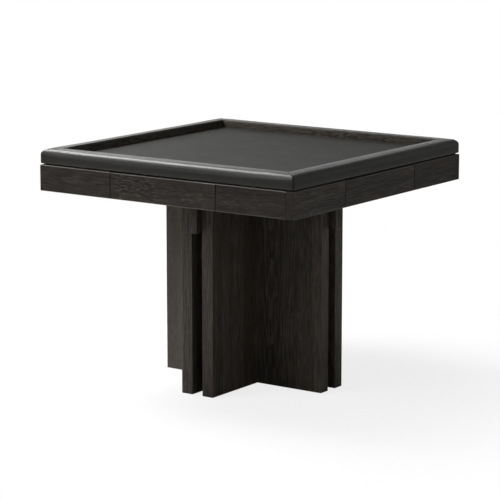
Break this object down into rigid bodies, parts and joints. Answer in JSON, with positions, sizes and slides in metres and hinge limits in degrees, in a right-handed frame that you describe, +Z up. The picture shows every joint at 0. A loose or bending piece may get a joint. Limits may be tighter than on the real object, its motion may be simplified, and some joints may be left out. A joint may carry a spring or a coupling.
{
  "type": "mahjong table",
  "caption": "Square mahjong table with a leather-padded rim round a sunken playing surface, drawers in a dark oak apron and a slotted cross-shaped panel pedestal.",
  "frame": {"origin": "on the floor under the middle of the table", "axes": "+Z up; -Y is the front, and each of the four sides has a drawer facing it"},
  "size_m": [0.99, 0.99, 0.788],
  "materials": {
    "dark_oak": "open-grain oak stained brown-black, satin",
    "black_board": "board stained black",
    "rim_leather": "charcoal leather over thin padding, low sheen",
    "playing_leather": "matt charcoal leather",
    "drawer_birch": "clear lacquered birch",
    "drawer_bottom_ply": "plywood lined with dark felt",
    "beech": "bare fluted beech",
    "zinc_steel": "zinc-plated steel",
    "black_nylon": "moulded nylon"
  },
  "bodies": {
    "table": {"apron_floor": "black_board", "back_apron_left": "dark_oak", "back_apron_right": "dark_oak", "back_arm_left_panel": "dark_oak", "back_arm_right_panel": "dark_oak", "back_rim_core": "dark_oak", "back_rim_pad": "rim_leather", "bay_walls": "black_board", "corner_blocks": "black_board", "deck": "black_board", "fixed_runners": "zinc_steel", "flange_nuts": "zinc_steel", "floor_glides": "black_nylon", "front_apron_left": "dark_oak", "front_apron_right": "dark_oak", "front_arm_left_panel": "dark_oak", "front_arm_right_panel": "dark_oak", "front_rim_core": "dark_oak", "front_rim_pad": "rim_leather", "left_apron_left": "dark_oak", "left_apron_right": "dark_oak", "left_arm_left_panel": "dark_oak", "left_arm_right_panel": "dark_oak", "left_rim_core": "dark_oak", "left_rim_pad": "rim_leather", "lower_rail_front_to_back": "black_board", "lower_rail_left_to_right": "black_board", "playing_surface": "playing_leather", "rail_dowels": "beech", "right_apron_left": "dark_oak", "right_apron_right": "dark_oak", "right_arm_left_panel": "dark_oak", "right_arm_right_panel": "dark_oak", "right_rim_core": "dark_oak", "right_rim_pad": "rim_leather", "rim_screws": "zinc_steel", "top_bolts": "zinc_steel", "upper_rail_front_to_back": "dark_oak", "upper_rail_left_to_right": "dark_oak"},
    "front_drawer": {"front_drawer_front": "dark_oak", "front_drawer_box": "drawer_birch", "front_drawer_bottom": "drawer_bottom_ply", "front_drawer_runners": "zinc_steel"},
    "front_runner_middle": {"front_middle_runners": "zinc_steel"},
    "right_drawer": {"right_drawer_front": "dark_oak", "right_drawer_box": "drawer_birch", "right_drawer_bottom": "drawer_bottom_ply", "right_drawer_runners": "zinc_steel"},
    "right_runner_middle": {"right_middle_runners": "zinc_steel"},
    "back_drawer": {"back_drawer_front": "dark_oak", "back_drawer_box": "drawer_birch", "back_drawer_bottom": "drawer_bottom_ply", "back_drawer_runners": "zinc_steel"},
    "back_runner_middle": {"back_middle_runners": "zinc_steel"},
    "left_drawer": {"left_drawer_front": "dark_oak", "left_drawer_box": "drawer_birch", "left_drawer_bottom": "drawer_bottom_ply", "left_drawer_runners": "zinc_steel"},
    "left_runner_middle": {"left_middle_runners": "zinc_steel"}
  },
  "joints": [
    {"name": "front_drawer_slide", "type": "slide", "parent": "table", "child": "front_drawer", "axis": [0, -1, 0], "range_m": [0, 0.21]},
    {"name": "front_runner_slide", "type": "slide", "parent": "table", "child": "front_runner_middle", "axis": [0, -1, 0], "range_m": [0, 0.105]},
    {"name": "right_drawer_slide", "type": "slide", "parent": "table", "child": "right_drawer", "axis": [1, 0, 0], "range_m": [0, 0.21]},
    {"name": "right_runner_slide", "type": "slide", "parent": "table", "child": "right_runner_middle", "axis": [1, 0, 0], "range_m": [0, 0.105]},
    {"name": "back_drawer_slide", "type": "slide", "parent": "table", "child": "back_drawer", "axis": [0, 1, 0], "range_m": [0, 0.21]},
    {"name": "back_runner_slide", "type": "slide", "parent": "table", "child": "back_runner_middle", "axis": [0, 1, 0], "range_m": [0, 0.105]},
    {"name": "left_drawer_slide", "type": "slide", "parent": "table", "child": "left_drawer", "axis": [-1, 0, 0], "range_m": [0, 0.21]},
    {"name": "left_runner_slide", "type": "slide", "parent": "table", "child": "left_runner_middle", "axis": [-1, 0, 0], "range_m": [0, 0.105]}
  ],
  "couplings": [
    {"joint": "front_runner_slide", "follows": "front_drawer_slide", "ratio": 0.5},
    {"joint": "right_runner_slide", "follows": "right_drawer_slide", "ratio": 0.5},
    {"joint": "back_runner_slide", "follows": "back_drawer_slide", "ratio": 0.5},
    {"joint": "left_runner_slide", "follows": "left_drawer_slide", "ratio": 0.5}
  ]
}
